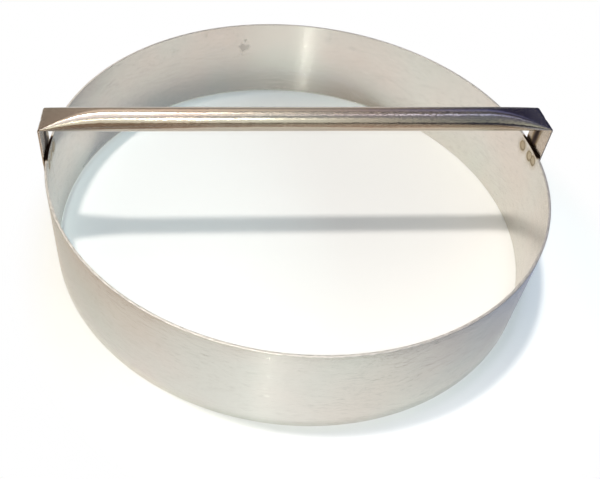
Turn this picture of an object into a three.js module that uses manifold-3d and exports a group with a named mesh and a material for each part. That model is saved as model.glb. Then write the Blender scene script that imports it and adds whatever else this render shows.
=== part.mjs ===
// Pizza base cutter: a band of stainless strip rolled into a ring, with a tube handle across its top.
// Millimetres, +Z up. The band stands on z = 0 round the Z axis, and the handle runs along X.

import * as THREE from 'three';
import { mergeVertices } from 'three/addons/utils/BufferGeometryUtils.js';
import Module from 'manifold-3d';

// Band: strip rolled into a ring and butt welded
const BAND_DIAMETER = 250;
const BAND_HEIGHT = 50.8;
const BAND_WALL = 1.2;
// Chamfer that deburring leaves on all four long edges of the strip
const EDGE_BREAK = 0.15;
const BAND_FACETS = 180;
// Width of the fused metal where the strip's ends meet, ground flush
const SEAM_WIDTH = 0.8;

// Handle: one length of round tube with both ends pressed flat and folded down
const TUBE_DIAMETER = 12;
const TUBE_WALL = 0.45;
const PRESSED_THICKNESS = 1.0;
// Height of the tube's axis above the band's rim
const GRIP_RISE = 18;
// Length in which the section goes from pressed flat to fully round
const TAPER_LENGTH = 32;
const FOLD_INNER_RADIUS = 0.6;
// How far each leg reaches down the outside of the band
const LEG_OVERLAP = 11;
// Stand-off between the band and a leg, which the spot welds bridge
const WELD_GAP = 0.2;

// Facets round the tube's section and along its bends
const FLAT_FACETS = 6;
const CAP_FACETS = 4;
const FOLD_STEPS = 5;
const TAPER_STEPS = 12;

// Spot welds: a row of three under each leg, as y along the row and drop below the rim
const WELD_DIAMETER = 3.6;
const WELD_FACETS = 20;
const WELD_ROWS = {
  right: { side: 1, spots: { rear: [6.8, 4.8], middle: [-2.0, 4.8], front: [-6.8, 4.0] } },
  left: { side: -1, spots: { rear: [6.8, 4.8], middle: [0, 4.8], front: [-6.8, 4.8] } },
};

// Sizes that follow from the ones above
const BAND_RADIUS = BAND_DIAMETER / 2;
const TUBE_RADIUS = TUBE_DIAMETER / 2;
const TUBE_PERIMETER = Math.PI * TUBE_DIAMETER;
const PRESSED_HALF = PRESSED_THICKNESS / 2;
const GRIP_HEIGHT = BAND_HEIGHT + GRIP_RISE;
const LEG_FACE = BAND_RADIUS + WELD_GAP;
const LEG_MID = LEG_FACE + PRESSED_HALF;
const FOLD_MID_RADIUS = FOLD_INNER_RADIUS + PRESSED_HALF;

const wasm = await Module();
wasm.setup();

// Closed three.js geometry as a solid for joining and cutting
function toSolid(geometry) {
  const bare = geometry.clone();
  bare.deleteAttribute('normal');
  bare.deleteAttribute('uv');
  const merged = mergeVertices(bare, 1e-5);
  return new wasm.Manifold(new wasm.Mesh({
    numProp: 3,
    vertProperties: new Float32Array(merged.attributes.position.array),
    triVerts: new Uint32Array(merged.index.array),
  }));
}

function toGeometry(solid) {
  const mesh = solid.getMesh();
  const geometry = new THREE.BufferGeometry();
  geometry.setAttribute('position', new THREE.BufferAttribute(mesh.vertProperties, 3));
  geometry.setIndex(new THREE.BufferAttribute(mesh.triVerts, 1));
  geometry.computeVertexNormals();
  return geometry;
}

// Full ring of the band: the strip's section, with its edges broken, turned round the axis
function ringGeometry() {
  const outer = BAND_RADIUS;
  const inner = BAND_RADIUS - BAND_WALL;
  const section = [
    [inner + EDGE_BREAK, 0],
    [outer - EDGE_BREAK, 0],
    [outer, EDGE_BREAK],
    [outer, BAND_HEIGHT - EDGE_BREAK],
    [outer - EDGE_BREAK, BAND_HEIGHT],
    [inner + EDGE_BREAK, BAND_HEIGHT],
    [inner, BAND_HEIGHT - EDGE_BREAK],
    [inner, EDGE_BREAK],
    [inner + EDGE_BREAK, 0],
  ].map(([radius, height]) => new THREE.Vector2(radius, height));
  const ring = new THREE.LatheGeometry(section, BAND_FACETS);
  return ring.rotateX(Math.PI / 2);
}

// Block across the wall where the strip's ends meet, behind the left leg
function seamGeometry() {
  const block = new THREE.BoxGeometry(4 * BAND_WALL, SEAM_WIDTH, 2 * BAND_HEIGHT);
  return block.translate(-BAND_RADIUS, 0, BAND_HEIGHT / 2);
}

// Point on a tube section pressed to a given half height, at arc length s from the middle of its top.
// The section is two flats and two round ends, and its perimeter stays that of the round tube.
// Inset moves the point square to the wall, to the tube's inside face.
function sectionPoint(s, halfHeight, inset) {
  const side = Math.sign(s);
  const run = Math.abs(s);
  const halfFlat = Math.PI * (TUBE_RADIUS - halfHeight) / 2;
  const cap = Math.PI * halfHeight;
  const reach = halfHeight - inset;
  if (run <= halfFlat) {
    return [s, reach];
  }
  if (run >= halfFlat + cap) {
    return [side * (2 * halfFlat + cap - run), -reach];
  }
  const turn = (run - halfFlat) / halfHeight;
  return [side * (halfFlat + reach * Math.sin(turn)), reach * Math.cos(turn)];
}

// Arc lengths of the lines that run along the tube, closest together round the pressed edges
function sectionLines() {
  const halfFlat = Math.PI * (TUBE_RADIUS - PRESSED_HALF) / 2;
  const cap = Math.PI * PRESSED_HALF;
  const half = [];
  for (let i = 0; i < FLAT_FACETS; i += 1) {
    half.push(halfFlat * i / FLAT_FACETS);
  }
  for (let i = 0; i < CAP_FACETS; i += 1) {
    half.push(halfFlat + cap * i / CAP_FACETS);
  }
  for (let i = 0; i < FLAT_FACETS; i += 1) {
    half.push(halfFlat + cap + halfFlat * i / FLAT_FACETS);
  }
  const mirrored = half.slice(1).reverse().map((s) => -s);
  return [...half, TUBE_PERIMETER / 2, ...mirrored];
}

// Half height of the section at a distance from the fold: it opens at once and ends tangent to the tube
function taperHalfHeight(distance) {
  const left = 1 - Math.min(distance / TAPER_LENGTH, 1);
  return PRESSED_HALF + (TUBE_RADIUS - PRESSED_HALF) * (1 - left * left);
}

// Stations from a leg's foot up, round the fold and along the taper, relative to the tube's axis.
// Each holds its place on the middle line, the direction its top face looks and its half height.
function halfPath() {
  const stations = [];
  const foldTop = LEG_MID - FOLD_MID_RADIUS;
  const foot = -GRIP_RISE - LEG_OVERLAP;
  stations.push({ x: LEG_MID, z: foot, turn: 0, halfHeight: PRESSED_HALF });
  for (let i = 0; i <= FOLD_STEPS; i += 1) {
    const turn = Math.PI / 2 * i / FOLD_STEPS;
    const x = foldTop + FOLD_MID_RADIUS * Math.cos(turn);
    const z = FOLD_MID_RADIUS * (Math.sin(turn) - 1);
    stations.push({ x, z, turn, halfHeight: PRESSED_HALF });
  }
  for (let i = 1; i <= TAPER_STEPS; i += 1) {
    const distance = TAPER_LENGTH * i / TAPER_STEPS;
    stations.push({ x: foldTop - distance, z: 0, turn: Math.PI / 2, halfHeight: taperHalfHeight(distance) });
  }
  return stations;
}

// Tube handle, hollow all the way, with a slit left open at each foot
function handleGeometry() {
  const right = halfPath().reverse();
  const left = halfPath().map((station) => ({ ...station, x: -station.x, turn: Math.PI - station.turn }));
  const stations = [...left, ...right];
  const lines = sectionLines();
  const count = lines.length;
  const positions = [];
  for (const inset of [0, TUBE_WALL]) {
    for (const { x, z, turn, halfHeight } of stations) {
      for (const s of lines) {
        const [across, up] = sectionPoint(s, halfHeight, inset);
        positions.push(x + up * Math.cos(turn), across, z + up * Math.sin(turn));
      }
    }
  }

  const index = [];
  const inside = stations.length * count;
  const quad = (a, b, c, d) => index.push(a, b, c, a, c, d);
  for (let line = 0; line < count; line += 1) {
    const next = (line + 1) % count;
    for (let station = 0; station < stations.length - 1; station += 1) {
      const here = station * count;
      const there = here + count;
      quad(here + line, there + line, there + next, here + next);
      quad(inside + here + line, inside + here + next, inside + there + next, inside + there + line);
    }
    const last = inside - count;
    quad(line, next, inside + next, inside + line);
    quad(last + line, inside + last + line, inside + last + next, last + next);
  }
  const geometry = new THREE.BufferGeometry();
  geometry.setAttribute('position', new THREE.Float32BufferAttribute(positions, 3));
  geometry.setIndex(index);
  geometry.computeVertexNormals();
  return geometry;
}

// Round nugget from inside the band's wall out to a leg, before the band is cut away from it
function weldGeometry(side, y, drop) {
  const length = BAND_WALL / 2 + WELD_GAP;
  const nugget = new THREE.CylinderGeometry(WELD_DIAMETER / 2, WELD_DIAMETER / 2, length, WELD_FACETS);
  nugget.rotateZ(Math.PI / 2);
  return nugget.translate(side * (LEG_FACE - length / 2), y, BAND_HEIGHT - drop);
}

function steel(color, roughness) {
  return new THREE.MeshStandardMaterial({ color, roughness, metalness: 1 });
}

const cutter = new THREE.Group();

function addPiece(name, geometry, material) {
  const mesh = new THREE.Mesh(geometry, material);
  mesh.name = name;
  cutter.add(mesh);
  return mesh;
}

const ring = toSolid(ringGeometry());
const seam = toSolid(seamGeometry());
addPiece('cutter_band', toGeometry(ring.subtract(seam)), steel('#c9c5bc', 0.38));
addPiece('band_seam_weld', toGeometry(ring.intersect(seam)), steel('#c4c0b8', 0.42));

const handle = addPiece('handle_tube', handleGeometry(), steel('#c6c0b4', 0.26));
handle.position.z = GRIP_HEIGHT;

for (const [row, { side, spots }] of Object.entries(WELD_ROWS)) {
  for (const [place, [y, drop]] of Object.entries(spots)) {
    const nugget = toSolid(weldGeometry(side, y, drop)).subtract(ring);
    addPiece(`spot_weld_${row}_${place}`, toGeometry(nugget), steel('#8d8474', 0.5));
  }
}

export default cutter;
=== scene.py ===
"""Pizza base cutter: a ring of stainless strip with a pressed tube handle, on a white studio floor."""

import math

import bpy
from bpy.props import FloatProperty, FloatVectorProperty, PointerProperty
from mathutils import Matrix, Vector


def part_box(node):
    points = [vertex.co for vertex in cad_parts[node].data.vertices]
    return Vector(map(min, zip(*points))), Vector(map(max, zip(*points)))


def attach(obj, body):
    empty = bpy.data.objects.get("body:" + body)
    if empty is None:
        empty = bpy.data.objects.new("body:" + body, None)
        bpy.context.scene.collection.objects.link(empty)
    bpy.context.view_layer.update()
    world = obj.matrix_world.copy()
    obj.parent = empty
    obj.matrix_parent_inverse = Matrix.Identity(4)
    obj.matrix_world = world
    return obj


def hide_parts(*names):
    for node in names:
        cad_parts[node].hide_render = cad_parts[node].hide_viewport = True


bl_info = {
    "name": "Pizza base cutter",
    "version": (1, 0, 0),
    "blender": (4, 5, 0),
    "location": "3D View > Sidebar > Cutter",
    "description": "Builds a ring cutter with a tube handle, and the stage it stands on",
    "category": "Object",
}

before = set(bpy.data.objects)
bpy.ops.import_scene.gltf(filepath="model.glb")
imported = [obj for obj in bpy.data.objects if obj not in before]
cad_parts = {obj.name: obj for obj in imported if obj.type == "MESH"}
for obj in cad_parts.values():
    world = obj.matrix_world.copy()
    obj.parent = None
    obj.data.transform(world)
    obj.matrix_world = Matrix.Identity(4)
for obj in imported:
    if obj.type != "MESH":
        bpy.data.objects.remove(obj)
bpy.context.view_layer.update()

MM = 0.001
BODY = "root"
# UV map that runs along the grain in u and across it in v, both in millimetres
GRAIN_MAP = "grain"
# Vertex value from 0, bare steel, to 1, scorched black. It holds heat tint, and also painted shade on the rim
# under each leg and down the crease inside each leg
TINT_AND_SHADE = "tint"

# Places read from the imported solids
BAND_TOP_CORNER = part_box("cutter_band")[1]
BAND_RADIUS = BAND_TOP_CORNER[1]
BAND_HEIGHT = BAND_TOP_CORNER[2]
HANDLE_LOW, HANDLE_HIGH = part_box("handle_tube")
SPOT_NODES = sorted(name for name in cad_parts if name.startswith("spot_weld_"))

# Edges that turn more than this stay sharp
SHARP_ANGLE = math.radians(40)


def linear(hex_colour):
    """Linear RGBA of an sRGB hex value."""
    rgba = []
    for start in (1, 3, 5):
        value = int(hex_colour[start:start + 2], 16) / 255
        rgba.append(value / 12.92 if value <= 0.04045 else ((value + 0.055) / 1.055) ** 2.4)
    return (*rgba, 1.0)


def amount(name, description, default, **more):
    """Property for a number that is never negative."""
    return FloatProperty(name=name, description=description, default=default, min=0.0, **more)


def length(name, description, millimetres):
    """Property for a size, shown in the scene's units."""
    return amount(name, description, millimetres * MM, precision=5, unit="LENGTH")


def colour(name, description, hex_colour):
    """Property for a colour."""
    return FloatVectorProperty(name=name, description=description, default=linear(hex_colour), size=4,
                               min=0.0, max=1.0, subtype="COLOR")


def factor(name, description, default):
    """Property for a share from 0 to 1."""
    return amount(name, description, default, max=1.0, subtype="FACTOR")


def power(name, description, watts):
    """Property for a lamp's power."""
    return amount(name, description, watts, unit="POWER")


class BandSettings(bpy.types.PropertyGroup):
    """Strip that is rolled into the ring"""
    wall: length("Wall", "Thickness of the strip", 1.2)
    edge_radius: length("Edge radius", "Rounding that deburring leaves on the strip's edges", 0.2)
    seam_width: length("Seam width", "Fused metal where the strip's ends meet", 0.8)
    steel: colour("Steel", "Colour of the bare strip", "#E3DFD8")
    steel_warm: colour("Warm steel", "Colour of its warmer patches", "#E5DDD5")
    steel_cool: colour("Cool steel", "Colour of its cooler patches", "#E0E0D9")
    smooth: factor("Smooth roughness", "Roughness between the brushed lines", 0.2)
    brushed: factor("Brushed roughness", "Roughness in the brushed lines", 0.25)
    stretch: factor("Stretch", "How far the lines draw a highlight out across them", 1.0)
    line_run: length("Line run", "How far a brushed line runs along the strip", 20.0)
    line_gap: length("Line gap", "Spacing of the brushed lines across the strip", 0.25)
    line_depth: length("Line depth", "Depth of the brushed lines", 0.012)
    line_shade: factor("Line shade", "How much darker or lighter than the rest a line is", 0.03)
    burr_run: length("Burr run", "How far a burr runs along a brushed line", 3.0)
    burr_gap: length("Burr gap", "Width of a burr across the strip", 0.05)
    burr_slope: amount("Burr slope", "Steepest lean of a burr's top, as rise over run", 1.0)
    burr_share: factor("Burr share", "Part of the face that burrs take up where they are thick", 0.1)


class HandleSettings(bpy.types.PropertyGroup):
    """Tube that is pressed flat at both ends and folded down"""
    tube_diameter: length("Tube diameter", "Outside diameter of the round tube", 12.0)
    tube_wall: length("Tube wall", "Thickness of the tube's wall", 0.45)
    pressed_thickness: length("Pressed thickness", "Thickness of the flat ends", 1.0)
    taper_length: length("Taper length", "Run from pressed flat to fully round", 32.0)
    fold_inner_radius: length("Fold radius", "Inside radius of the fold at each end", 0.6)
    valley_depth: length("Valley depth", "Hollow along the middle of each pressed face", 0.16)
    valley_width: length("Valley width", "Width of that hollow", 3.0)
    steel: colour("Steel", "Colour of the bare tube", "#BFB3A5")
    steel_warm: colour("Warm steel", "Colour of its warmer patches", "#C2B0A1")
    steel_cool: colour("Cool steel", "Colour of its cooler patches", "#BBB4A6")
    smooth: factor("Smooth roughness", "Roughness between the drawing lines", 0.18)
    brushed: factor("Brushed roughness", "Roughness in the drawing lines", 0.24)
    stretch: factor("Stretch", "How far polishing draws a highlight out along the tube", 0.72)
    line_run: length("Line run", "How far a drawing line runs along the tube", 2.0)
    line_gap: length("Line gap", "Spacing of the drawing lines round the tube", 0.35)
    line_depth: length("Line depth", "Depth of the drawing lines", 0.01)
    line_shade: factor("Line shade", "How much darker or lighter than the rest a line is", 0.1)
    dimple_run: length("Dimple run", "Length of the dimples that polishing leaves", 0.6)
    dimple_gap: length("Dimple gap", "Width of those dimples round the tube", 0.3)
    dimple_slope: amount("Dimple slope", "Steepest lean in a dimple, as rise over run", 0.045)


class WeldSettings(bpy.types.PropertyGroup):
    """Spot welds that hold the legs to the band"""
    mark_diameter: length("Mark diameter", "Width of the dent that the electrode leaves", 5.6)
    mark_depth: length("Mark depth", "Depth of that dent", 0.1)
    steel: colour("Steel", "Colour of the fused metal", "#8D8474")


class StageSettings(bpy.types.PropertyGroup):
    """Floor, lamps and camera"""
    floor: colour("Floor", "Colour of the paper that the cutter stands on", "#FBFBFA")
    key_light: colour("Key light", "Colour of the lamp overhead", "#FFF9F1")
    key_power: power("Key power", "Power of the lamp overhead", 74.0)
    front_light: colour("Front light", "Colour of the lamp beside the camera", "#FAFFF4")
    front_power: power("Front power", "Power of the lamp beside the camera", 1.4)
    fill_light: colour("Fill light", "Colour of the soft lamp on the right", "#BEDEE4")
    fill_power: power("Fill power", "Power of the soft lamp on the right", 29.0)
    camera_distance: length("Camera distance", "From the camera to the point it looks at", 419.4)
    focal_length: amount("Focal length", "Of the lens, in millimetres on a 36 mm sensor", 42.0)


class CutterSettings(bpy.types.PropertyGroup):
    """All the settings of the cutter and its stage"""
    band: PointerProperty(type=BandSettings)
    handle: PointerProperty(type=HandleSettings)
    weld: PointerProperty(type=WeldSettings)
    stage: PointerProperty(type=StageSettings)


# Node and mesh helpers

def add(tree, kind, inputs=None, stops=None, **settings):
    """Adds a node with its settings, sets or links its inputs, and places a colour ramp's stops.

    The colour of a stop is a hex value, or one that is linear already.
    """
    node = tree.nodes.new(kind)
    for name, value in settings.items():
        setattr(node, name, value)
    for name, value in (inputs or {}).items():
        if isinstance(value, bpy.types.NodeSocket):
            tree.links.new(value, node.inputs[name])
        else:
            node.inputs[name].default_value = value
    if stops:
        elements = node.color_ramp.elements
        while len(elements) < len(stops):
            elements.new(0.5)
        for element, (position, shade) in zip(elements, stops):
            element.position = position
            element.color = linear(shade) if isinstance(shade, str) else shade
    return node


def empty_material(name):
    """New material with no nodes, and its tree."""
    material = bpy.data.materials.new(name)
    material.use_nodes = True
    tree = material.node_tree
    tree.nodes.clear()
    return material, tree


def new_object(name, data):
    """Object for a mesh, a lamp or a camera, linked to the scene."""
    thing = bpy.data.objects.new(name, data)
    bpy.context.scene.collection.objects.link(thing)
    return thing


def new_mesh(name, points, faces):
    """Mesh from its points and faces."""
    mesh = bpy.data.meshes.new(name)
    mesh.from_pydata(points, [], faces)
    return mesh


def loft(name, rings, along, around, tints_and_shades, material):
    """Closed skin over a row of rings, with the grain's UV map and the heat tint and painted shade at each
    point.

    along gives each ring's place down the grain, and around each line's place across it, with one
    more at the end for the line that closes the ring. Both are in metres.
    """
    count = len(around) - 1
    points = [point for ring in rings for point in ring]
    faces = []
    uvs = []
    for i in range(len(rings) - 1):
        here = i * count
        there = here + count
        for j in range(count):
            after = (j + 1) % count
            faces.append((here + j, there + j, there + after, here + after))
            for u, v in ((i, j), (i + 1, j), (i + 1, j + 1), (i, j + 1)):
                uvs.extend((along[u] / MM, around[v] / MM))
    last = len(points) - count
    faces.append(tuple(range(count)))
    faces.append(tuple(range(last + count - 1, last - 1, -1)))
    for v in (*range(count), *reversed(range(count))):
        uvs.extend((0.0, around[v] / MM))

    mesh = new_mesh(name, points, faces)
    mesh.materials.append(material)
    mesh.uv_layers.new(name=GRAIN_MAP).data.foreach_set("uv", uvs)
    mesh.attributes.new(TINT_AND_SHADE, "FLOAT", "POINT").data.foreach_set("value", tints_and_shades)
    mesh.shade_smooth()
    mesh.set_sharp_from_angle(angle=SHARP_ANGLE)
    if mesh.validate():
        raise ValueError(f"{name} has faulty faces")
    return new_object(name, mesh)


def spread(start, stop, count):
    """Evenly spaced values, both ends among them."""
    return [start + (stop - start) * i / (count - 1) for i in range(count)]


def fade(distance, near, far):
    """1 up to near, 0 from far on, and smooth between."""
    t = min(max((far - distance) / (far - near), 0.0), 1.0)
    return t * t * (3 - 2 * t)


def bell(distance, width):
    """1 at no distance, falling off smoothly to either side."""
    return math.exp(-(distance / width) ** 2)


# Spot weld marks

# Shape of a mark in shares of its radius, and the height of its lip as a share of its depth
PIT_FLAT = 0.7
LIP_PLACE, LIP_WIDTH, LIP_HEIGHT = 1.1, 0.18, 0.4
RING_PLACE, RING_WIDTH = 0.86, 0.14
MIDDLE_REACH = 0.5
HALO_REACH = 2.2
# Heat tint of the ring at the pit's edge, the pit's middle and the halo round it
RING_TINT, MIDDLE_TINT, HALO_TINT = 0.3, 0.1, 0.1


def spot_places(side):
    """Middle of each weld on one side, as y and z."""
    places = []
    for name in SPOT_NODES:
        low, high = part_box(name)
        if side * low[0] > 0:
            places.append(((low[1] + high[1]) / 2, (low[2] + high[2]) / 2))
    return places


SPOTS = {1: spot_places(1), -1: spot_places(-1)}


def spot_distance(side, y, z):
    """Distance on the wall from the nearest weld."""
    return min(math.hypot(y - spot_y, z - spot_z) for spot_y, spot_z in SPOTS[side])


def mark_dent(distance, weld):
    """How far the electrode presses the face in: a flat pit with a low lip round it."""
    radius = weld.mark_diameter / 2
    pit = fade(distance, PIT_FLAT * radius, radius)
    lip = bell(distance - LIP_PLACE * radius, LIP_WIDTH * radius)
    return weld.mark_depth * (pit - LIP_HEIGHT * lip)


def mark_tint(distance, weld):
    """Heat tint of a mark: a brown ring at the pit's edge, a paler middle and a faint straw halo."""
    radius = weld.mark_diameter / 2
    ring = bell(distance - RING_PLACE * radius, RING_WIDTH * radius)
    middle = fade(distance, MIDDLE_REACH * radius, radius)
    halo = fade(distance, radius, HALO_REACH * radius)
    return RING_TINT * ring + MIDDLE_TINT * middle + HALO_TINT * halo


# Materials

# Middle and width of each smudge on the band, in metres, and the share of light it takes
SMUDGES = (
    ((-0.0184, 0.1224, 0.0353), 0.0092, 0.15),
    ((0.0375, 0.118, 0.0449), 0.008, 0.06),
    ((-0.0427, 0.1162, 0.0468), 0.006, 0.06),
    ((-0.0623, 0.107, 0.0407), 0.007, 0.05),
    ((0.0517, 0.1125, 0.0394), 0.007, 0.05),
    ((0.0704, 0.1018, 0.025), 0.007, 0.05),
    ((-0.0271, -0.122, 0.0223), 0.005, 0.08),
)
# Roughness that a full smudge adds, and that full scorch and painted shade add
SMUDGE_ROUGH, SCORCH_AND_SHADE_ROUGH = 0.5, 0.25
# Colours that steel takes as it is heated: bare, straw, brown, blue grey and scale. The same colours also
# paint shade on the rim under each leg and down the crease inside each leg
HEAT_AND_SHADE_STOPS = ((0.0, "#FFFFFF"), (0.2, "#DBCFB6"), (0.45, "#A59478"), (0.7, "#6E5F60"), (1.0, "#3A2820"))
# Dashes in which burrs stand thick, and nicks along a sheared edge
DASH_RUN, DASH_GAP = 2.2 * MM, 0.4 * MM
NICK_RUN, NICK_GAP = 3.0 * MM, 0.4 * MM
# Scratches of the grinding wheel, which stand upright on the seam
SCRATCH_GAP, SCRATCH_RUN = 0.15 * MM, 4.0 * MM
# Share of the strip's light that its worn edges and its ground seam keep where they are darkest
WORN_SHARE, GROUND_SHARE = 0.7, 0.8
# Much finer than a pixel, so that lines don't tilt the steel along themselves
BUMP_FILTER = 0.01


def darker(steel, share):
    """Linear colour with a share of its light."""
    return (*(share * channel for channel in steel[:3]), 1.0)


def grain_marks(tree, along, across, detail):
    """Pattern of marks that have one size along the grain and another across it."""
    grain = add(tree, "ShaderNodeUVMap", uv_map=GRAIN_MAP)
    space = add(tree, "ShaderNodeMapping", {
        "Vector": grain.outputs["UV"], "Scale": (MM / along, MM / across, 1.0),
    })
    noise = add(tree, "ShaderNodeTexNoise", {
        "Vector": space.outputs["Vector"], "Scale": 1.0, "Detail": detail,
    })
    return noise.outputs["Fac"]


def dull_surface(tree, steel, pattern, roughness, relief):
    """Ends a material as dull steel, which a pattern roughens between two values and raises."""
    low, high = roughness
    rough = add(tree, "ShaderNodeMapRange", {"Value": pattern, "To Min": low, "To Max": high})
    bump = add(tree, "ShaderNodeBump", {"Height": pattern, **relief})
    shader = add(tree, "ShaderNodeBsdfPrincipled", {
        "Base Color": steel,
        "Metallic": 1.0,
        "Roughness": rough.outputs["Result"],
        "Normal": bump.outputs["Normal"],
    })
    add(tree, "ShaderNodeOutputMaterial", {"Surface": shader.outputs["BSDF"]})


def heated(tree, steel):
    """Colour of steel under its heat tint and painted shade, and the value that carries them."""
    tint = add(tree, "ShaderNodeAttribute", attribute_name=TINT_AND_SHADE)
    heat = add(tree, "ShaderNodeValToRGB", {"Fac": tint.outputs["Fac"]}, HEAT_AND_SHADE_STOPS)
    stained = add(tree, "ShaderNodeVectorMath", {
        0: steel, 1: heat.outputs["Color"],
    }, operation="MULTIPLY")
    return stained.outputs["Vector"], tint.outputs["Fac"]


def smudge_shade(tree, place):
    """Share of light left by greasy smudges from handling, each some millimetres wide with a ragged edge."""
    ragged_size = 4 * MM
    blots = add(tree, "ShaderNodeTexNoise", {
        "Vector": place, "Scale": 1 / ragged_size, "Detail": 3.0, "Roughness": 0.55,
    })
    ragged = add(tree, "ShaderNodeMapRange", {
        "Value": blots.outputs["Fac"], "From Min": 0.3, "From Max": 0.7,
    })
    shade = 1.0
    for spot, size, share in SMUDGES:
        reach = add(tree, "ShaderNodeVectorMath", {0: place, 1: spot}, operation="DISTANCE")
        near = add(tree, "ShaderNodeMath", {
            0: reach.outputs["Value"], 1: -1 / size, 2: ragged.outputs["Result"],
        }, operation="MULTIPLY_ADD")
        veil = add(tree, "ShaderNodeMapRange", {
            "Value": near.outputs["Value"], "From Max": 0.5, "To Min": 1.0, "To Max": 1 - share,
        }, interpolation_type="SMOOTHSTEP")
        both = add(tree, "ShaderNodeMath", {0: veil.outputs["Result"], 1: shade}, operation="MULTIPLY")
        shade = both.outputs["Value"]
    return shade


def faceted_normal(tree, grain, facet_scale, facet_share, facet_lean):
    """Face's normal, broken up by small facets.

    A share of the facets lean by up to facet_lean, thick in some dashes and thin between them. Where the
    share is 1, all of them lean, and to both sides.
    """
    facet_space = add(tree, "ShaderNodeMapping", {"Vector": grain, "Scale": facet_scale})
    facets = add(tree, "ShaderNodeTexVoronoi", {"Vector": facet_space.outputs["Vector"], "Scale": 1.0})
    chance = add(tree, "ShaderNodeSeparateXYZ", {"Vector": facets.outputs["Color"]})
    if facet_share < 1:
        flat = add(tree, "ShaderNodeMapRange", {
            "Value": grain_marks(tree, DASH_RUN, DASH_GAP, 1.0), "From Min": 0.4, "From Max": 0.7,
            "To Min": 0.99, "To Max": 1 - facet_share,
        })
        lean = add(tree, "ShaderNodeMapRange", {
            "Value": chance.outputs["X"], "From Min": flat.outputs["Result"],
        })
    else:
        lean = add(tree, "ShaderNodeMapRange", {"Value": chance.outputs["X"], "To Min": -1.0})
    leaning = add(tree, "ShaderNodeVectorMath", {
        0: facet_lean, "Scale": lean.outputs["Result"],
    }, operation="SCALE")
    face = add(tree, "ShaderNodeNewGeometry")
    tilted = add(tree, "ShaderNodeVectorMath", {
        0: face.outputs["Normal"], 1: leaning.outputs["Vector"],
    }, operation="ADD")
    facing = add(tree, "ShaderNodeVectorMath", {0: tilted.outputs["Vector"]}, operation="NORMALIZE")
    return facing.outputs["Vector"]


def brushed_steel(name, finish, highlight_turn, facet_scale, facet_share, facet_lean):
    """Stainless steel with fine lines along u of its grain map.

    The stretched highlight lies along u where highlight_turn is 0, and along v where it is a quarter.
    faceted_normal says what the facets are.
    """
    material, tree = empty_material(name)
    grain = add(tree, "ShaderNodeUVMap", uv_map=GRAIN_MAP).outputs["UV"]
    place = add(tree, "ShaderNodeTexCoord").outputs["Object"]

    # Lines along the grain, coarser than the real ones so that they show
    lines = grain_marks(tree, finish.line_run, finish.line_gap, 1.0)

    # Patches some centimetres wide where rolling left the steel a little warmer or cooler
    patch_size = 60 * MM
    patches = add(tree, "ShaderNodeTexNoise", {"Vector": place, "Scale": 1 / patch_size, "Detail": 2.0})
    patch_steel = add(tree, "ShaderNodeValToRGB", {"Fac": patches.outputs["Fac"]}, (
        (0.35, tuple(finish.steel_cool)), (0.5, tuple(finish.steel)), (0.65, tuple(finish.steel_warm)),
    ))
    smudges = smudge_shade(tree, place)
    line_shade = add(tree, "ShaderNodeMapRange", {
        "Value": lines, "From Min": 0.3, "From Max": 0.7,
        "To Min": 1 - finish.line_shade, "To Max": 1 + finish.line_shade,
    })
    shade = add(tree, "ShaderNodeMath", {0: smudges, 1: line_shade.outputs["Result"]}, operation="MULTIPLY")
    steel, tint = heated(tree, patch_steel.outputs["Color"])
    shaded = add(tree, "ShaderNodeVectorMath", {0: steel, "Scale": shade.outputs["Value"]}, operation="SCALE")

    # The lines, smudges, scorching and painted shade each scatter light more than the plain steel
    line_rough = add(tree, "ShaderNodeMapRange", {
        "Value": lines, "From Min": 0.4, "From Max": 0.6, "To Min": finish.smooth, "To Max": finish.brushed,
    })
    full_rough = add(tree, "ShaderNodeMath", {
        0: line_rough.outputs["Result"], 1: SMUDGE_ROUGH,
    }, operation="ADD")
    smudge_rough = add(tree, "ShaderNodeMath", {
        0: smudges, 1: -SMUDGE_ROUGH, 2: full_rough.outputs["Value"],
    }, operation="MULTIPLY_ADD")
    rough = add(tree, "ShaderNodeMath", {
        0: tint, 1: SCORCH_AND_SHADE_ROUGH, 2: smudge_rough.outputs["Value"],
    }, operation="MULTIPLY_ADD")
    bump = add(tree, "ShaderNodeBump", {
        "Height": lines, "Distance": finish.line_depth, "Filter Width": BUMP_FILTER,
        "Normal": faceted_normal(tree, grain, facet_scale, facet_share, facet_lean),
    })
    tangent = add(tree, "ShaderNodeTangent", direction_type="UV_MAP", uv_map=GRAIN_MAP)
    shader = add(tree, "ShaderNodeBsdfPrincipled", {
        "Base Color": shaded.outputs["Vector"],
        "Metallic": 1.0,
        "Roughness": rough.outputs["Value"],
        "Normal": bump.outputs["Normal"],
        "Anisotropic": finish.stretch,
        "Anisotropic Rotation": highlight_turn,
        "Tangent": tangent.outputs["Tangent"],
    })
    add(tree, "ShaderNodeOutputMaterial", {"Surface": shader.outputs["BSDF"]})
    return material


def rolled_strip_steel(band):
    """Stainless strip, cold rolled and brushed lengthwise.

    Lines along the strip draw each lamp out into an upright streak, and the wall between is a soft satin.
    Burrs on the lines lean upwards, and catch the light as fine dashes.
    """
    burr_scale = (MM / band.burr_run, MM / band.burr_gap, 1.0)
    return brushed_steel("stainless_strip_brushed", band, 0.25, burr_scale, band.burr_share,
                         (0.0, 0.0, band.burr_slope))


def polished_tube_steel(handle):
    """Stainless tube, drawn to size and polished round.

    Polishing draws each lamp out into a long band, which short drawing lines and dimples break up.
    """
    dimple_scale = (MM / handle.dimple_run, MM / handle.dimple_gap, 1.0)
    return brushed_steel("stainless_tube_polished", handle, 0.0, dimple_scale, 1.0,
                         (0.0, handle.dimple_slope, handle.dimple_slope))


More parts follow.
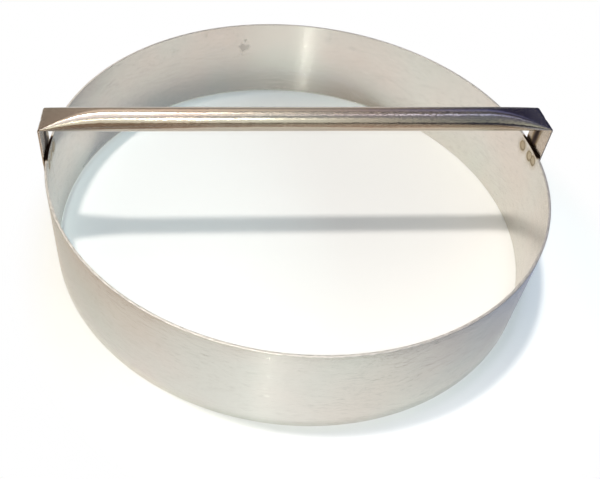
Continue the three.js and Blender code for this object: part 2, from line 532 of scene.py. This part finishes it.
def sheared_edge_steel(band):
    """Stainless strip, sheared to width and deburred.

    Its edges are duller than its faces, with short broken lines along them.
    """
    material, tree = empty_material("stainless_edge_deburred")
    nicks = grain_marks(tree, NICK_RUN, NICK_GAP, 2.0)
    shades = add(tree, "ShaderNodeValToRGB", {"Fac": nicks}, (
        (0.35, darker(band.steel, WORN_SHARE)), (0.6, tuple(band.steel)),
    ))
    # The rim under each leg takes its heat tint and painted shade here too
    steel, _ = heated(tree, shades.outputs["Color"])
    dull_surface(tree, steel, nicks, (0.7, 0.5), {
        "Distance": 0.04 * MM, "Filter Width": BUMP_FILTER,
    })
    return material


def spot_weld_steel(weld):
    """Stainless nugget, fused by resistance welding: dull, with a blue and brown heat tint."""
    material, tree = empty_material("stainless_spot_weld")
    place = add(tree, "ShaderNodeTexCoord")
    stain_size = 1.5 * MM
    stain = add(tree, "ShaderNodeTexNoise", {
        "Vector": place.outputs["Object"], "Scale": 1 / stain_size, "Detail": 3.0,
    })
    shades = add(tree, "ShaderNodeValToRGB", {"Fac": stain.outputs["Fac"]}, (
        (0.3, "#5A5250"), (0.5, tuple(weld.steel)), (0.7, "#A8977A"),
    ))
    dull_surface(tree, shades.outputs["Color"], stain.outputs["Fac"], (0.4, 0.65), {
        "Strength": 0.6, "Distance": 0.05 * MM,
    })
    return material


def ground_seam_steel(band):
    """Stainless butt weld, ground flush: short upright scratches across a slightly darker, duller line."""
    material, tree = empty_material("stainless_seam_ground")
    scratches = grain_marks(tree, SCRATCH_GAP, SCRATCH_RUN, 3.0)
    shades = add(tree, "ShaderNodeValToRGB", {"Fac": scratches}, (
        (0.3, darker(band.steel, GROUND_SHARE)), (0.7, tuple(band.steel)),
    ))
    dull_surface(tree, shades.outputs["Color"], scratches, (0.35, 0.55), {
        "Strength": 0.8, "Distance": 0.02 * MM,
    })
    return material


# Point under the cutter, towards its shadow, from which the next two are measured
CLEAR_MIDDLE = (18 * MM, -9 * MM, 0.0)
# Where the paper starts to clear, and where it is plain white
CLEAR_START = 139 * MM
CLEAR_END = 168 * MM


def backdrop_paper(stage):
    """Matt white paper, coated: an even pale floor that holds a soft shadow and ends in plain white."""
    material, tree = empty_material("paper_matt_white")
    place = add(tree, "ShaderNodeTexCoord")
    # Fibres, drawn coarser than real ones
    fibre_size = 0.8 * MM
    fibres = add(tree, "ShaderNodeTexNoise", {
        "Vector": place.outputs["Object"], "Scale": 1 / fibre_size, "Detail": 2.0,
    })
    bump = add(tree, "ShaderNodeBump", {
        "Height": fibres.outputs["Fac"], "Strength": 0.2, "Distance": 0.02 * MM,
    })
    shader = add(tree, "ShaderNodeBsdfPrincipled", {
        "Base Color": tuple(stage.floor),
        "Roughness": 0.9,
        "Specular IOR Level": 0.1,
        "Normal": bump.outputs["Normal"],
    })
    # Away from the cutter the paper shows as plain white, to the eye and in reflections
    outward = add(tree, "ShaderNodeVectorMath", {
        0: place.outputs["Object"], 1: CLEAR_MIDDLE,
    }, operation="DISTANCE")
    clear = add(tree, "ShaderNodeMapRange", {
        "Value": outward.outputs["Value"], "From Min": CLEAR_START, "From Max": CLEAR_END,
    }, interpolation_type="SMOOTHSTEP")
    path = add(tree, "ShaderNodeLightPath")
    mirrored = add(tree, "ShaderNodeMath", {
        0: path.outputs["Is Glossy Ray"], 1: path.outputs["Is Transmission Ray"],
    }, operation="MAXIMUM")
    seen = add(tree, "ShaderNodeMath", {
        0: path.outputs["Is Camera Ray"], 1: mirrored.outputs["Value"],
    }, operation="MAXIMUM")
    share = add(tree, "ShaderNodeMath", {
        0: clear.outputs["Result"], 1: seen.outputs["Value"],
    }, operation="MULTIPLY")
    white = add(tree, "ShaderNodeEmission")
    surface = add(tree, "ShaderNodeMixShader", {
        "Fac": share.outputs["Value"], 1: shader.outputs["BSDF"], 2: white.outputs["Emission"],
    })
    add(tree, "ShaderNodeOutputMaterial", {"Surface": surface.outputs["Shader"]})
    return material


# Band

# Fine mesh where the electrode marks are, coarse elsewhere
MARK_STEP = 0.3 * MM
MARK_ZONE_WIDTH = 12 * MM
MARK_ZONE_DEPTH = 10 * MM
COARSE_TURN = math.radians(1)
CORNER_STEPS = 3
COARSE_ROWS = 8
SEAM_COLUMNS = 4
# Rim under each leg, darkened partly as scorch and partly as painted shade: how far down it is full and ends,
# and the same about the leg's edge
SCORCH_AND_SHADE_FULL, SCORCH_AND_SHADE_END = 0.1 * MM, 0.5 * MM
SCORCH_AND_SHADE_INSIDE, SCORCH_AND_SHADE_PAST = 1 * MM, 1.5 * MM


def strip_section(band):
    """Points round the strip's section as inset from the outer face and height, from the outer foot up."""
    radius = band.edge_radius
    top = BAND_HEIGHT - radius
    deep = band.wall - radius
    mark_rows = int(MARK_ZONE_DEPTH / MARK_STEP)
    mark_foot = top - mark_rows * MARK_STEP
    outer_rows = spread(radius, top, COARSE_ROWS)[1:-1]
    inner_rows = [top - MARK_STEP * i for i in range(1, mark_rows)]
    inner_rows += spread(mark_foot, radius, COARSE_ROWS)[:-1]
    corners = []
    for quarter, (inset, height) in enumerate(((radius, top), (deep, top), (deep, radius), (radius, radius))):
        for angle in spread(quarter * math.pi / 2, (quarter + 1) * math.pi / 2, CORNER_STEPS + 1):
            corners.append((inset - radius * math.cos(angle), height + radius * math.sin(angle)))
    half = len(corners) // 2
    outer = [(0.0, height) for height in outer_rows]
    inner = [(band.wall, height) for height in inner_rows]
    return outer + corners[:half] + inner + corners[half:]


def strip_angles(band):
    """Angles of the strip's columns, from one end at the seam round to the other."""
    end = math.pi - band.seam_width / 2 / BAND_RADIUS
    zone = MARK_ZONE_WIDTH / BAND_RADIUS
    fine = int(zone / (MARK_STEP / BAND_RADIUS))
    coarse = int((math.pi - 2 * zone) / COARSE_TURN)
    half = spread(0.0, zone, fine)[:-1] + spread(zone, math.pi - zone, coarse)[:-1]
    half += spread(math.pi - zone, end, fine)
    return [-angle for angle in reversed(half[1:])] + half


def strip_tint_and_shade(inset, y, z, side, band, weld):
    """Heat tint and painted shade on the strip: the weld marks on its inside face, and the rim under each
    leg, darkened partly as scorch and partly as painted shade.
    """
    tint = 0.0
    if inset > band.wall / 2:
        tint = mark_tint(spot_distance(side, y, z), weld)
    leg_half = HANDLE_HIGH[1]
    # Scorch and painted shade along the rim under each leg
    rim = fade(BAND_HEIGHT - z, SCORCH_AND_SHADE_FULL, SCORCH_AND_SHADE_END)
    return max(tint, rim * fade(abs(y), leg_half - SCORCH_AND_SHADE_INSIDE, leg_half + SCORCH_AND_SHADE_PAST))


def strip(name, angles, band, weld, material, edge_material):
    """Length of the rolled strip between the first and the last angle."""
    section = strip_section(band)
    rings = []
    tints_and_shades = []
    for angle in angles:
        side = 1 if math.cos(angle) > 0 else -1
        y = BAND_RADIUS * math.sin(angle)
        near_leg = abs(y) < 2 * MARK_ZONE_WIDTH
        ring = []
        for inset, z in section:
            radius = BAND_RADIUS - inset
            if near_leg and inset == band.wall:
                radius += mark_dent(spot_distance(side, y, z), weld)
            ring.append((radius * math.cos(angle), radius * math.sin(angle), z))
            tints_and_shades.append(strip_tint_and_shade(inset, y, z, side, band, weld) if near_leg else 0.0)
        rings.append(ring)
    along = [angle * BAND_RADIUS for angle in angles]
    around = [0.0]
    on_edge = []
    for here, there in zip(section, section[1:] + section[:1]):
        around.append(around[-1] + math.dist(here, there))
        on_edge.append(int(here[0] != there[0]))
    piece = loft(name, rings, along, around, tints_and_shades, material)
    piece.data.materials.append(edge_material)
    face_materials = on_edge * (len(rings) - 1) + [0, 0]
    piece.data.polygons.foreach_set("material_index", face_materials)
    return piece


class CUTTER_OT_band(bpy.types.Operator):
    """Rolls the strip into a ring, with its seam and the marks of the spot welds"""
    bl_idname = "cutter.band"
    bl_label = "Band"

    def execute(self, context):
        settings = context.scene.cutter
        band = settings.band
        if 2 * band.edge_radius >= band.wall:
            raise ValueError("the edge radius is over half the wall")
        edge_steel = sheared_edge_steel(band)
        ring = strip("band", strip_angles(band), band, settings.weld, rolled_strip_steel(band), edge_steel)
        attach(ring, BODY)
        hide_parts("cutter_band")

        half_turn = band.seam_width / 2 / BAND_RADIUS
        seam_angles = spread(math.pi - half_turn, math.pi + half_turn, SEAM_COLUMNS)
        seam = strip("band_seam", seam_angles, band, settings.weld, ground_seam_steel(band), edge_steel)
        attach(seam, BODY)
        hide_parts("band_seam_weld")
        return {"FINISHED"}


# Handle

FLAT_LINES = 22
CAP_LINES = 6
LEG_STEP = 0.5 * MM
FOLD_STEPS = 10
TAPER_STEPS = 48
HALF_GRIP_STEPS = 12
# How deep the slit at each foot is open
SLIT_DEPTH = 6 * MM
# Thickness, in pressed thicknesses, at which a pressed face is no longer hollow
VALLEY_END = 2.4
# Painted shade down the inside of each leg, along the fold's crease, and how far below the top of the tube it
# fades out
CREASE_PLACE = 1.6 * MM
CREASE_WIDTH = 2.4 * MM
CREASE_FULL, CREASE_END = 18 * MM, 34 * MM


def section_point(s, half_height, inset, handle):
    """Point on a pressed tube section at arc length s from the middle of its top.

    The section is two flats and two round ends, and its perimeter stays that of the round tube.
    """
    side = math.copysign(1, s)
    run = abs(s)
    half_flat = math.pi * (handle.tube_diameter / 2 - half_height) / 2
    cap = math.pi * half_height
    reach = half_height - inset
    if run <= half_flat:
        return s, reach
    if run >= half_flat + cap:
        return side * (2 * half_flat + cap - run), -reach
    turn = (run - half_flat) / half_height
    return side * (half_flat + reach * math.sin(turn)), reach * math.cos(turn)


def section_lines(handle):
    """Arc lengths of the lines along the tube, from the middle of its top round to it again."""
    half_height = handle.pressed_thickness / 2
    half_flat = math.pi * (handle.tube_diameter / 2 - half_height) / 2
    cap = math.pi * half_height
    half = spread(0.0, half_flat, FLAT_LINES)[:-1]
    half += spread(half_flat, half_flat + cap, CAP_LINES)[:-1]
    half += spread(half_flat + cap, 2 * half_flat + cap, FLAT_LINES)
    return half + [-s for s in reversed(half[1:-1])]


def half_stations(handle):
    """Stations from a leg's foot up, round the fold and along the taper to the middle of the grip.

    Each holds x and z on the middle line, the direction that the top face looks, and the half height.
    """
    pressed = handle.pressed_thickness / 2
    tube_radius = handle.tube_diameter / 2
    leg_mid = HANDLE_HIGH[0] - pressed
    axis = HANDLE_HIGH[2] - tube_radius
    fold_radius = handle.fold_inner_radius + pressed
    fold_x = leg_mid - fold_radius
    fold_z = axis - fold_radius
    steps = int((fold_z - HANDLE_LOW[2]) / LEG_STEP)
    stations = [(leg_mid, z, 0.0, pressed) for z in spread(HANDLE_LOW[2], fold_z, steps)[:-1]]
    for turn in spread(0.0, math.pi / 2, FOLD_STEPS):
        x = fold_x + fold_radius * math.cos(turn)
        stations.append((x, fold_z + fold_radius * math.sin(turn), turn, pressed))
    for distance in spread(0.0, handle.taper_length, TAPER_STEPS)[1:]:
        left = 1 - distance / handle.taper_length
        half_height = pressed + (tube_radius - pressed) * (1 - left * left)
        stations.append((fold_x - distance, axis, math.pi / 2, half_height))
    grip_half = fold_x - handle.taper_length
    stations += [(x, axis, math.pi / 2, tube_radius) for x in spread(grip_half, 0.0, HALF_GRIP_STEPS)[1:]]
    return stations


def slit_rows(foot, handle):
    """Rows of the slit at a foot, from its bottom out: a station and how far inside the tube's face it is."""
    x, z, turn, half_height = foot
    bottom = (x, z + SLIT_DEPTH, turn, half_height)
    return [(bottom, handle.tube_wall), (foot, handle.tube_wall)]


def painted_crease_shade(across, z):
    """Painted shade down the inside of a leg, where the fold creased it, fading towards the foot."""
    return bell(across - CREASE_PLACE, CREASE_WIDTH) * fade(HANDLE_HIGH[2] - z, CREASE_FULL, CREASE_END)


def handle_ring(station, inset, lines, handle, weld):
    """Ring of points at a station with the heat tint and painted shade at each, for the outer face or, inset,
    for the inner one.
    """
    x, z, turn, half_height = station
    pressed = handle.pressed_thickness / 2
    pressing = fade(half_height, pressed, VALLEY_END * pressed)
    foot = z < BAND_HEIGHT and abs(x) > BAND_RADIUS
    side = math.copysign(1, x)
    ring = []
    tints_and_shades = []
    for s in lines:
        across, up = section_point(s, half_height, inset, handle)
        tint = 0.0
        if inset == 0:
            valley = pressing * bell(across, handle.valley_width / 2)
            up -= math.copysign(handle.valley_depth * valley, up)
            if foot and up > 0:
                distance = spot_distance(side, across, z)
                up -= mark_dent(distance, weld)
                tint = mark_tint(distance, weld)
            # Painted shade down the crease inside each leg
            if up < 0 and turn != math.pi / 2:
                tint = painted_crease_shade(across, z)
        ring.append((x + up * math.cos(turn), across, z + up * math.sin(turn)))
        tints_and_shades.append(tint)
    return ring, tints_and_shades


class CUTTER_OT_handle(bpy.types.Operator):
    """Presses the tube's ends flat and folds them down over the outside of the band"""
    bl_idname = "cutter.handle"
    bl_label = "Handle"

    def execute(self, context):
        settings = context.scene.cutter
        handle = settings.handle
        right = half_stations(handle)
        left = [(-x, z, math.pi - turn, half) for x, z, turn, half in right]
        stations = left + right[-2::-1]
        rows = slit_rows(stations[0], handle)
        rows += [(station, 0.0) for station in stations]
        rows += reversed(slit_rows(stations[-1], handle))

        lines = section_lines(handle)
        rings = []
        tints_and_shades = []
        along = [0.0]
        for station, inset in rows:
            ring, ring_tints = handle_ring(station, inset, lines, handle, settings.weld)
            if rings:
                along.append(along[-1] + math.dist(ring[0], rings[-1][0]))
            rings.append(ring)
            tints_and_shades.extend(ring_tints)
        perimeter = math.pi * handle.tube_diameter
        around = [s % perimeter for s in lines] + [perimeter]
        tube = loft("handle", rings, along, around, tints_and_shades, polished_tube_steel(handle))
        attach(tube, BODY)
        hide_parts("handle_tube")
        return {"FINISHED"}


class CUTTER_OT_spot_welds(bpy.types.Operator):
    """Finishes the six nuggets between the legs and the band"""
    bl_idname = "cutter.spot_welds"
    bl_label = "Spot welds"

    def execute(self, context):
        material = spot_weld_steel(context.scene.cutter.weld)
        for name in SPOT_NODES:
            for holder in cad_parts[name].material_slots:
                holder.material = material
        return {"FINISHED"}


# Stage

# The photograph's frame
IMAGE_WIDTH, IMAGE_HEIGHT = 600, 479
# Where the lens points in that frame, which is cropped from a wider picture
LENS_AXIS_X, LENS_AXIS_Y = 227.0, 170.7
SENSOR_WIDTH = 36
CAMERA_AZIMUTH = math.radians(-4.29)
CAMERA_ELEVATION = math.radians(41.3)
CAMERA_ROLL = math.radians(2.56)
CAMERA_TARGET = Vector((-31.2 * MM, 39.7 * MM, 0.0))

FLOOR_RADIUS = 3.0
FLOOR_ROWS = 4
FLOOR_SIDES = 96
# Rounded corner where the floor turns up into a low wall
SWEEP_RADIUS = 0.3
SWEEP_ROWS = 12
WALL_HEIGHT = 0.35
FLOOR_GAP = 0.05 * MM

KEY_PLACE = 4.0 * Vector((-0.19, 0.075, 0.98)).normalized()
KEY_SIZE = (0.32, 0.32)
FILL_PLACE = 2.2 * Vector((0.92, 0.05, 0.4)).normalized()
FILL_SIZE = (3.0, 0.4)
FRONT_LAMP_RADIUS = 8 * MM
FRONT_LAMP_RISE = 2 * MM
# Direction in which the room is brightest
BRIGHT_SIDE = Vector((0.0, 0.3, 1.0)).normalized()

FLAG_HEIGHT = 0.45
# Patch of floor that the flag shades, along the inside of the back wall
FLAG_SHADE_HALF = 100 * MM
FLAG_SHADE_START = 98 * MM
FLAG_SHADE_DEPTH = 70 * MM
FLAG_SLATS = 5
# How much of the light its slats stop
FLAG_COVER = 0.75

ARC_COLUMNS = 61
# Degrees in which an arc narrows at each end, and the share of its width that it loses there
ARC_END_RUN = 28
ARC_END_LOSS = 0.98
# Height of the painted-reflection sheets that stand for the paper
MAT_HEIGHT = 0.5 * MM


def add_camera(stage):
    """Camera at the photograph's viewing angle."""
    data = bpy.data.cameras.new("camera")
    data.sensor_width = SENSOR_WIDTH
    data.lens = stage.focal_length
    data.shift_x = (IMAGE_WIDTH / 2 - LENS_AXIS_X) / IMAGE_WIDTH
    data.shift_y = (LENS_AXIS_Y - IMAGE_HEIGHT / 2) / IMAGE_WIDTH
    camera = new_object("camera", data)
    around = Matrix.Rotation(CAMERA_AZIMUTH, 4, "Z")
    upward = Matrix.Rotation(math.pi / 2 - CAMERA_ELEVATION, 4, "X")
    turn = around @ upward @ Matrix.Rotation(CAMERA_ROLL, 4, "Z")
    eye = CAMERA_TARGET + stage.camera_distance * turn.col[2].to_3d()
    camera.matrix_world = Matrix.Translation(eye) @ turn
    bpy.context.scene.camera = camera
    return camera


def area_lamp(name, shape, size, place, watts, light):
    """Flat lamp that faces the cutter."""
    data = bpy.data.lights.new(name, "AREA")
    data.shape = shape
    data.size, data.size_y = size
    data.energy = watts
    data.color = light[:3]
    lamp = new_object(name, data)
    turn = place.to_track_quat("Z", "Y").to_matrix().to_4x4()
    lamp.matrix_world = Matrix.Translation(place) @ turn
    return lamp


def add_lamps(stage, camera):
    """Warm lamp overhead, a wide cool one low on the right, and a small one just over the lens."""
    area_lamp("key", "DISK", KEY_SIZE, KEY_PLACE, stage.key_power, stage.key_light)
    fill = area_lamp("fill", "RECTANGLE", FILL_SIZE, FILL_PLACE, stage.fill_power, stage.fill_light)
    # The steel shows the dim room on that side and not the lamp
    fill.visible_glossy = False
    data = bpy.data.lights.new("front", "POINT")
    data.shadow_soft_size = FRONT_LAMP_RADIUS
    data.energy = stage.front_power
    data.color = stage.front_light[:3]
    front = new_object("front", data)
    front.location = camera.matrix_world @ Vector((0.0, FRONT_LAMP_RISE, 0.0))


def show_only_to(thing, kind):
    """Makes an object show to one kind of ray alone."""
    for each in ("camera", "diffuse", "glossy", "transmission", "shadow"):
        setattr(thing, f"visible_{each}", each == kind)


def add_flag():
    """Slats that keep most of the overhead lamp off the back of the ring, and are seen by shadows alone."""
    share = FLAG_HEIGHT / KEY_PLACE.z
    pitch = FLAG_SHADE_DEPTH / FLAG_SLATS
    corners = []
    for slat in range(FLAG_SLATS):
        for x, y in ((-1, 0.0), (1, 0.0), (1, FLAG_COVER), (-1, FLAG_COVER)):
            shaded = Vector((x * FLAG_SHADE_HALF, FLAG_SHADE_START + (slat + y) * pitch, 0.0))
            corners.append(shaded.lerp(KEY_PLACE, share))
    faces = [range(4 * slat, 4 * slat + 4) for slat in range(FLAG_SLATS)]
    flag = new_object("flag", new_mesh("flag", corners, faces))
    show_only_to(flag, "shadow")


def quad(*corners):
    """Points and faces of a flat sheet with four corners."""
    return corners, [(0, 1, 2, 3)]


def arc(start, end, near, far):
    """Points and faces of a sheet round the ring, with its two sides as radius and height.

    It narrows towards both ends, so that reflections of it fade out.
    """
    points = []
    for degrees in spread(start, end, ARC_COLUMNS):
        turn = math.radians(degrees)
        narrowing = fade(min(degrees - start, end - degrees), 0.0, ARC_END_RUN)
        for share in (0.0, 1 - ARC_END_LOSS * narrowing):
            radius, height = (low + (high - low) * share for low, high in zip(near, far))
            points.append((radius * math.cos(turn), radius * math.sin(turn), height))
    faces = [(2 * i, 2 * i + 1, 2 * i + 3, 2 * i + 2) for i in range(ARC_COLUMNS - 1)]
    return points, faces


def mat(start, end, near, far):
    """Arc that lies just over the paper, between two radii, for a painted reflection of it."""
    return arc(start, end, (near, MAT_HEIGHT), (far, MAT_HEIGHT))


def add_card(name, sheet, stops, strength=1.0, axis="X", lights_paper=False):
    """Glowing sheet, coloured along x or y by the stops of a colour ramp.

    Only reflections see it, or only the paper where it lights that.
    """
    material, tree = empty_material(name)
    place = add(tree, "ShaderNodeTexCoord")
    across = add(tree, "ShaderNodeSeparateXYZ", {"Vector": place.outputs["Generated"]})
    shade = add(tree, "ShaderNodeValToRGB", {"Fac": across.outputs[axis]}, stops)
    glow = add(tree, "ShaderNodeEmission", {"Color": shade.outputs["Color"], "Strength": strength})
    add(tree, "ShaderNodeOutputMaterial", {"Surface": glow.outputs["Emission"]})
    mesh = new_mesh(name, *sheet)
    mesh.materials.append(material)
    card = new_object(name, mesh)
    show_only_to(card, "diffuse" if lights_paper else "glossy")


def add_room_cards():
    """Painted reflections: glowing and dark sheets that only the steel's reflections see, standing for the
    lamps, window and dim walls of the studio. Corners are in metres.
    """
    # Overhead, painted reflections: a soft box on the left, a strip lamp right of it, and a beam that darkens
    # to the right
    add_card("soft_box_reflection", quad((-0.8, -1.75, 2.0), (-0.8, 0.5, 2.0), (-0.1, -0.2, 2.0), (-0.1, -1.1, 2.0)), (
        (0.0, "#F0F4FF"), (0.6, "#EEF2FF"), (1.0, "#A8A8AC"),
    ), 2.3)
    add_card("strip_lamp_reflection", quad(
        (-0.15, -0.75, 2.0), (-0.15, -0.4, 2.0), (1.1, -0.25, 2.0), (1.1, -0.55, 2.0),
    ), (
        (0.0, "#CCC8C4"), (0.15, "#C2BEBA"), (0.35, "#ACAAA8"), (0.58, "#66646C"), (0.72, "#DCE4FF"),
        (0.88, "#5A64A8"),
    ), 4.5)
    add_card("dark_beam_reflection", quad((0.0, -0.2, 2.05), (0.0, 0.75, 2.05), (1.4, 0.75, 2.05), (1.4, -0.2, 2.05)), (
        (0.0, "#A8A8A8"), (0.25, "#929294"), (0.4, "#585A68"), (0.55, "#1E2240"),
    ))
    # Painted reflections behind the cutter, brown on the left and blue on the right, and behind the camera
    add_card("dark_back_reflection", quad((-1.8, 1.5, 0.55), (-1.8, 1.5, 1.25), (1.8, 1.5, 1.25), (1.8, 1.5, 0.55)), (
        (0.0, "#AC9F96"), (0.5, "#B4ACA4"), (0.65, "#B8B0A8"), (0.69, "#1C1C38"), (1.0, "#1E2046"),
    ))
    add_card("window", quad((-0.8, -2.0, 0.08), (-0.8, -2.0, 1.75), (0.85, -2.0, 2.6), (0.85, -2.0, 0.2)), (
        (0.0, "#A0A79A"), (0.3, "#EEF6EC"), (0.7, "#F4FAF4"), (0.88, "#A0A8A0"), (1.0, "#6A706A"),
    ), 1.5)
    # Painted reflection beyond the beam, pale on the left and blue on the right
    add_card("ceiling_reflection", quad((-1.2, 0.8, 2.0), (-1.2, 2.6, 2.0), (2.0, 2.6, 2.0), (2.0, 0.8, 2.0)), (
        (0.0, "#F0E6DA"), (0.4, "#F0E6DC"), (0.5, "#C8C0BA"), (0.59, "#949298"), (0.68, "#686EA2"),
        (0.8, "#545A90"), (1.0, "#484E84"),
    ), 1.4)
    # Painted dark reflection, low and close, round the front and both sides
    add_card("dark_screen_reflection", arc(-215, 75, (0.22, 0.0), (0.22, 0.08)), (
        (0.0, "#A6947F"), (0.35, "#988774"), (0.65, "#50504A"), (1.0, "#2C3156"),
    ))


def add_paper_cards():
    """Painted reflections of the paper and its shade, which only the steel's reflections see, and light that
    the walls throw back on the paper at their feet.
    """
    # Painted reflection of the paper, with painted shade close to the outside of the ring
    add_card("outer_paper_reflection", mat(-212, 38, 0.1262, 0.21), (
        (0.0, "#E8E2D8"), (0.08, "#E2DAD0"), (0.14, "#CEC8BE"), (0.22, "#DEDCD4"), (0.3, "#EAE8E4"),
        (0.45, "#F4F4F2"), (0.6, "#E6E8E4"), (0.75, "#BCC1C6"), (0.85, "#A8B2C6"), (1.0, "#9DA7BC"),
    ), 1.15)
    # Painted reflection of the paper, bright in the middle of the ring, with painted shade towards the foot
    # of its back wall
    add_card("inner_paper_reflection", mat(2, 178, 0.104, 0.03), (
        (0.0, "#FFFBF4"), (0.7, "#FFFBF6"), (0.86, "#D8D6D2"), (1.0, "#B4B6B4"),
    ), axis="Y")
    add_card("foot_shade_reflection", mat(42, 160, 0.1236, 0.104), (
        (0.0, "#A8AFB6"), (0.5, "#ADAEAC"), (1.0, "#AEA294"),
    ))
    # Painted reflection for the underside of the tube: a brown sheet along the inside of the front wall,
    # which darkens it
    add_card("under_shade_reflection", mat(-175, -20, 0.118, 0.078), (
        (0.0, "#9A8C7E"), (0.5, "#C0B0A2"), (1.0, "#C6B6A6"),
    ))
    add_card("bounce_back", arc(40, 225, (0.1225, 0.001), (0.1225, 0.014)), (
        (0.0, "#F2FFFC"), (0.25, "#E0F6F6"), (0.5, "#BED2DA"), (1.0, "#BED2CE"),
    ), 0.75, lights_paper=True)
    add_card("bounce_front", arc(-150, 0, (0.1225, 0.004), (0.1225, 0.045)), (
        (0.0, "#F4FAFF"), (1.0, "#FFF0E4"),
    ), 0.8, lights_paper=True)
    add_card("bounce_outer", arc(-120, 20, (0.1265, 0.004), (0.1265, 0.045)), (
        (0.0, "#F8F0FC"), (0.6, "#F8F0FC"), (0.78, "#DAD6E4"), (0.93, "#ACB0CA"),
    ), lights_paper=True)


def add_world():
    """Room light: dim and brown on the left, pale in the middle, dim and blue on the right."""
    world = bpy.data.worlds.new("studio")
    bpy.context.scene.world = world
    world.use_nodes = True
    tree = world.node_tree
    tree.nodes.clear()
    place = add(tree, "ShaderNodeTexCoord")
    direction = add(tree, "ShaderNodeSeparateXYZ", {"Vector": place.outputs["Generated"]})
    across = add(tree, "ShaderNodeMapRange", {"Value": direction.outputs["X"], "From Min": -1.0})
    shade = add(tree, "ShaderNodeValToRGB", {"Fac": across.outputs["Result"]}, (
        (0.0, "#4E4038"), (0.15, "#655A51"), (0.25, "#857C74"), (0.33, "#BDBAB6"), (0.42, "#E4EAEB"),
        (0.5, "#E2ECF1"), (0.57, "#DAE1E7"), (0.635, "#B6BBC8"), (0.69, "#7E84A0"), (0.8, "#4E5478"),
        (1.0, "#363A62"),
    ))
    # Brightest overhead and a little behind the cutter, and dimmer towards the floor
    facing = add(tree, "ShaderNodeVectorMath", {
        0: place.outputs["Generated"], 1: tuple(BRIGHT_SIDE),
    }, operation="DOT_PRODUCT")
    level = add(tree, "ShaderNodeMapRange", {
        "Value": facing.outputs["Value"], "From Min": -0.1, "From Max": 0.45, "To Min": 0.38, "To Max": 0.76,
    }, interpolation_type="SMOOTHSTEP")
    background = add(tree, "ShaderNodeBackground", {
        "Color": shade.outputs["Color"], "Strength": level.outputs["Result"],
    })
    add(tree, "ShaderNodeOutputWorld", {"Surface": background.outputs["Background"]})


def add_floor(stage):
    """Round floor whose rim sweeps up into a low wall, all of one sheet."""
    flat_radius = FLOOR_RADIUS - SWEEP_RADIUS
    profile = [(radius, 0.0) for radius in spread(0.0, flat_radius, FLOOR_ROWS)]
    for angle in spread(0.0, math.pi / 2, SWEEP_ROWS)[1:]:
        profile.append((flat_radius + SWEEP_RADIUS * math.sin(angle), SWEEP_RADIUS * (1 - math.cos(angle))))
    profile.append((FLOOR_RADIUS, WALL_HEIGHT))
    points = [(0.0, 0.0, -FLOOR_GAP)]
    faces = []
    for row, (radius, height) in enumerate(profile[1:]):
        for i in range(FLOOR_SIDES):
            angle = 2 * math.pi * i / FLOOR_SIDES
            points.append((radius * math.cos(angle), radius * math.sin(angle), height - FLOOR_GAP))
            here = 1 + row * FLOOR_SIDES + i
            after = 1 + row * FLOOR_SIDES + (i + 1) % FLOOR_SIDES
            if row == 0:
                faces.append((0, here, after))
            else:
                faces.append((here - FLOOR_SIDES, here, after, after - FLOOR_SIDES))
    mesh = new_mesh("floor", points, faces)
    mesh.shade_smooth()
    mesh.materials.append(backdrop_paper(stage))
    floor = new_object("floor", mesh)


class CUTTER_OT_stage(bpy.types.Operator):
    """Lays the floor, hangs the lamps and sets up the camera"""
    bl_idname = "cutter.stage"
    bl_label = "Stage"

    def execute(self, context):
        stage = context.scene.cutter.stage
        context.scene.view_settings.view_transform = "Standard"
        add_floor(stage)
        add_world()
        add_flag()
        add_room_cards()
        add_paper_cards()
        add_lamps(stage, add_camera(stage))
        return {"FINISHED"}


class CUTTER_PT_panel(bpy.types.Panel):
    """Settings and steps of the cutter"""
    bl_idname = "CUTTER_PT_panel"
    bl_label = "Pizza base cutter"
    bl_space_type = "VIEW_3D"
    bl_region_type = "UI"
    bl_category = "Cutter"

    def draw(self, context):
        cutter = context.scene.cutter
        for settings in (cutter.band, cutter.handle, cutter.weld, cutter.stage):
            box = self.layout.box()
            for name in settings.__annotations__:
                box.prop(settings, name)
        for operator in OPERATORS:
            self.layout.operator(operator.bl_idname)


SETTINGS = (BandSettings, HandleSettings, WeldSettings, StageSettings, CutterSettings)
OPERATORS = (CUTTER_OT_band, CUTTER_OT_handle, CUTTER_OT_spot_welds, CUTTER_OT_stage)
CLASSES = (*SETTINGS, *OPERATORS, CUTTER_PT_panel)


def register():
    """Registers the classes and gives the scene its settings."""
    for cls in CLASSES:
        bpy.utils.register_class(cls)
    bpy.types.Scene.cutter = PointerProperty(type=CutterSettings)


def unregister():
    """Undoes register."""
    del bpy.types.Scene.cutter
    for cls in reversed(CLASSES):
        bpy.utils.unregister_class(cls)


def main():
    """Builds the cutter and its stage."""
    register()
    bpy.ops.cutter.band()
    bpy.ops.cutter.handle()
    bpy.ops.cutter.spot_welds()
    bpy.ops.cutter.stage()


if __name__ == "__main__":
    main()
